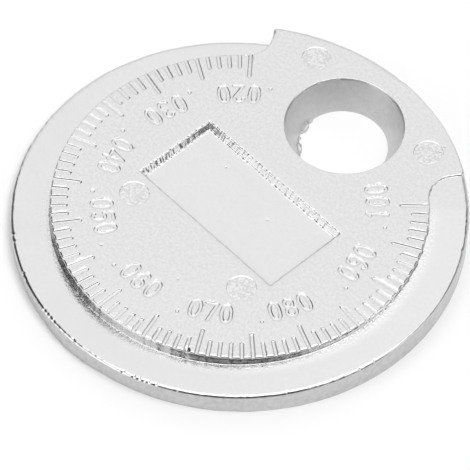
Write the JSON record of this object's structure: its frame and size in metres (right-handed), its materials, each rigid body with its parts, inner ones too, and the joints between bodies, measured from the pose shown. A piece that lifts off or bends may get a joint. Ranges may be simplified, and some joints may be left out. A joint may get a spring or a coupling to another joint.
{
  "type": "spark plug gap gauge",
  "caption": "Coin-shaped cast gauge whose rim thickens steadily round an engraved dial, with a full-height lug, a conical hole through it and a bare sunk panel.",
  "frame": {"origin": "centre of the disc on its flat back, which lies on z = 0", "axes": "+Z is the disc's axis, towards the dial; +Y runs from the centre to the hole in the lug; the dial reads anticlockwise seen from above"},
  "size_m": [0.035, 0.0352, 0.0026],
  "materials": {
    "plated_casting": "satin"
  },
  "bodies": {
    "root": {"gap_gauge": "plated_casting"}
  },
  "joints": []
}
